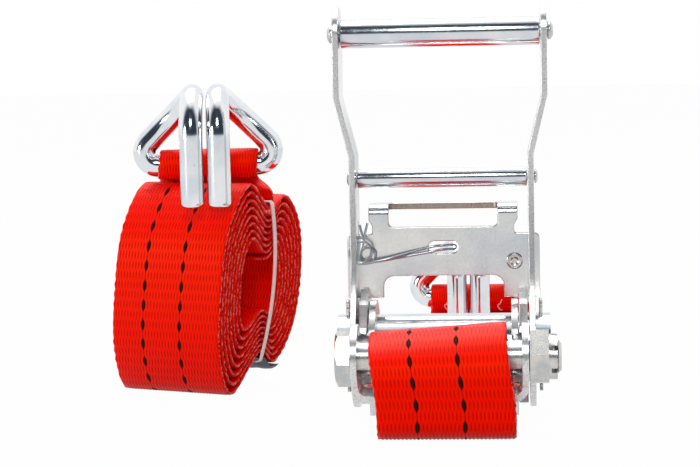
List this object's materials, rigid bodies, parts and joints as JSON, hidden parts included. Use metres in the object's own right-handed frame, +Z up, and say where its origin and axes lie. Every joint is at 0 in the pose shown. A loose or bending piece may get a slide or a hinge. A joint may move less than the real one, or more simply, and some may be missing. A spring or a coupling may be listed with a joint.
{
  "type": "ratchet tie down",
  "caption": "Webbing tie-down: a cranked-handle ratchet buckle with a hooked short strap on its bolt, and a hooked long strap folded into a tied hank.",
  "frame": {"origin": "on the floor under the middle of the spindle, on the underside of the short strap", "axes": "+X along the spindle to the nut, +Y back along the short strap, +Z up"},
  "size_m": [0.1809, 0.3263, 0.1565],
  "materials": {
    "zinc_sheet": "bright zinc plate over pressed steel sheet",
    "zinc_fastener": "dull zinc plate",
    "bright_zinc": "bright polished zinc plate",
    "spring_steel": "drawn spring wire",
    "red_webbing": "woven polyester webbing with black marker yarns",
    "white_band": "flat elastic band",
    "grey_label": "coated label cloth, plain"
  },
  "bodies": {
    "frame": {"base_frame": "zinc_sheet", "strap_bolt": "zinc_fastener", "strap_bolt_nut": "zinc_fastener", "short_strap": "red_webbing", "lock_pawl_spring_left": "spring_steel", "lock_pawl_spring_right": "spring_steel"},
    "handle": {"handle_plate_left": "zinc_sheet", "handle_plate_right": "zinc_sheet", "grip_tube": "bright_zinc", "grip_rivet": "zinc_fastener", "spacer_tube": "bright_zinc", "spacer_rivet": "zinc_fastener", "drive_pawl_spring": "spring_steel"},
    "drive_pawl": {"drive_pawl": "zinc_sheet", "drive_pawl_stud": "zinc_fastener"},
    "spindle": {"spindle_half_upper": "bright_zinc", "spindle_half_lower": "bright_zinc", "ratchet_wheel_left": "zinc_sheet", "ratchet_wheel_right": "zinc_sheet", "split_pin_left": "zinc_fastener", "split_pin_right": "zinc_fastener"},
    "lock_pawl": {"lock_pawl": "zinc_sheet"},
    "rear_hook": {"rear_hook": "bright_zinc"},
    "hank": {"strap_hank": "red_webbing", "hank_tie_band": "white_band", "strap_label": "grey_label"},
    "hank_hook": {"hank_hook": "bright_zinc"}
  },
  "joints": [
    {"name": "handle_turn", "type": "hinge", "parent": "frame", "child": "handle", "pos_m": [0, 0, 0.025], "axis": [1, 0, 0], "range_deg": [-90, 59]},
    {"name": "spindle_turn", "type": "hinge", "parent": "frame", "child": "spindle", "pos_m": [0, 0, 0.025], "axis": [1, 0, 0], "range_deg": [-90, 59]},
    {"name": "drive_pawl_slide", "type": "slide", "parent": "handle", "child": "drive_pawl", "axis": [0, 0, 1], "range_m": [0, 0.0048], "stiffness_N_per_m": 600, "springref_m": -0.006, "deforming": ["drive_pawl_spring"]},
    {"name": "lock_pawl_slide", "type": "slide", "parent": "frame", "child": "lock_pawl", "axis": [0, -1, 0], "range_m": [0, 0.0042], "stiffness_N_per_m": 600, "springref_m": -0.004, "deforming": ["lock_pawl_spring_left", "lock_pawl_spring_right"]},
    {"name": "rear_hook_swing", "type": "hinge", "parent": "frame", "child": "rear_hook", "pos_m": [0.00663, 0.205, 0.01685], "axis": [-0.999, 0.0454, 0], "range_deg": [0, 55]},
    {"name": "hank_lift", "type": "slide", "parent": "frame", "child": "hank", "axis": [0, 0, 1], "range_m": [0, 0.1]},
    {"name": "hank_hook_swing", "type": "hinge", "parent": "hank", "child": "hank_hook", "pos_m": [-0.09686, 0.04207, 0.094], "axis": [-0.9945, -0.1045, 0], "range_deg": [0, 55]}
  ],
  "couplings": [
    {"joint": "spindle_turn", "follows": "handle_turn", "ratio": 1}
  ]
}
